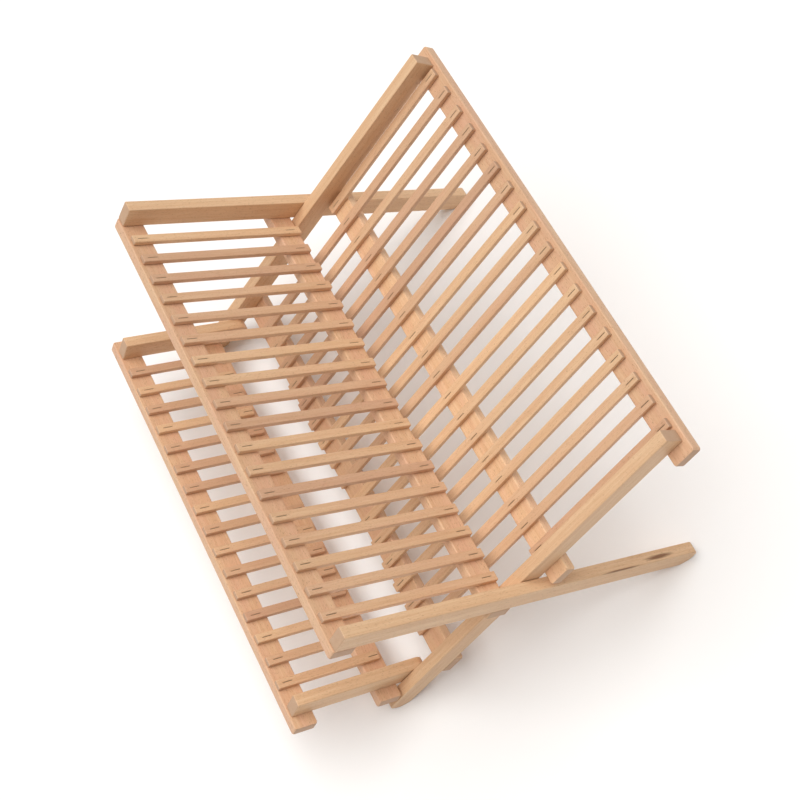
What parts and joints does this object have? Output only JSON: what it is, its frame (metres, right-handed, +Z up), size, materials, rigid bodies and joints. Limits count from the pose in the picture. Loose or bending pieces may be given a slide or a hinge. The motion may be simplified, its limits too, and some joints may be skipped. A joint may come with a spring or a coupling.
{
  "type": "folding wooden dish drying rack",
  "caption": "Folding wooden drying rack: two crossed slatted frames hold plates upright in a V, and a slatted shelf folds out below for cups. Folds flat.",
  "frame": {"origin": "centre of the bounding box's base, on the floor under the rack", "axes": "+Y along the rails, the longest side; +Z up; +X from the shelf's side towards the side of the narrow frame's upper arm"},
  "size_m": [0.39, 0.445, 0.2546],
  "materials": {
    "beech_leg": "sanded, oiled satin",
    "beech_rail": "sanded, oiled satin",
    "beech_slat": "sanded, oiled satin",
    "steel_pin": "plain drawn steel"
  },
  "bodies": {
    "narrow_frame": {"narrow_leg_near": "beech_leg", "narrow_leg_far": "beech_leg", "narrow_top_rail": "beech_rail", "narrow_middle_rail": "beech_rail", "narrow_lower_rail": "beech_rail", "narrow_slat_01": "beech_slat", "narrow_slat_02": "beech_slat", "narrow_slat_03": "beech_slat", "narrow_slat_04": "beech_slat", "narrow_slat_05": "beech_slat", "narrow_slat_06": "beech_slat", "narrow_slat_07": "beech_slat", "narrow_slat_08": "beech_slat", "narrow_slat_09": "beech_slat", "narrow_slat_10": "beech_slat", "narrow_slat_11": "beech_slat", "narrow_slat_12": "beech_slat", "narrow_slat_13": "beech_slat", "narrow_slat_14": "beech_slat", "narrow_slat_15": "beech_slat", "narrow_slat_16": "beech_slat", "narrow_slat_17": "beech_slat", "narrow_slat_18": "beech_slat", "main_pin_near": "steel_pin", "main_pin_far": "steel_pin", "shelf_pin_near": "steel_pin", "shelf_pin_far": "steel_pin"},
    "wide_frame": {"wide_leg_near": "beech_leg", "wide_leg_far": "beech_leg", "wide_top_rail": "beech_rail", "wide_middle_rail": "beech_rail", "wide_slat_01": "beech_slat", "wide_slat_02": "beech_slat", "wide_slat_03": "beech_slat", "wide_slat_04": "beech_slat", "wide_slat_05": "beech_slat", "wide_slat_06": "beech_slat", "wide_slat_07": "beech_slat", "wide_slat_08": "beech_slat", "wide_slat_09": "beech_slat", "wide_slat_10": "beech_slat", "wide_slat_11": "beech_slat", "wide_slat_12": "beech_slat", "wide_slat_13": "beech_slat", "wide_slat_14": "beech_slat", "wide_slat_15": "beech_slat", "wide_slat_16": "beech_slat", "wide_slat_17": "beech_slat", "wide_slat_18": "beech_slat"},
    "shelf": {"shelf_bar_near": "beech_leg", "shelf_bar_far": "beech_leg", "shelf_deck": "beech_rail"}
  },
  "joints": [
    {"name": "main_fold", "type": "hinge", "parent": "narrow_frame", "child": "wide_frame", "pos_m": [0.03282, 0, 0.12438], "axis": [0, 1, 0], "range_deg": [0, 100]},
    {"name": "shelf_fold", "type": "hinge", "parent": "narrow_frame", "child": "shelf", "pos_m": [-0.08285, 0, 0.02732], "axis": [0, 1, 0], "range_deg": [0, 105.5]}
  ]
}
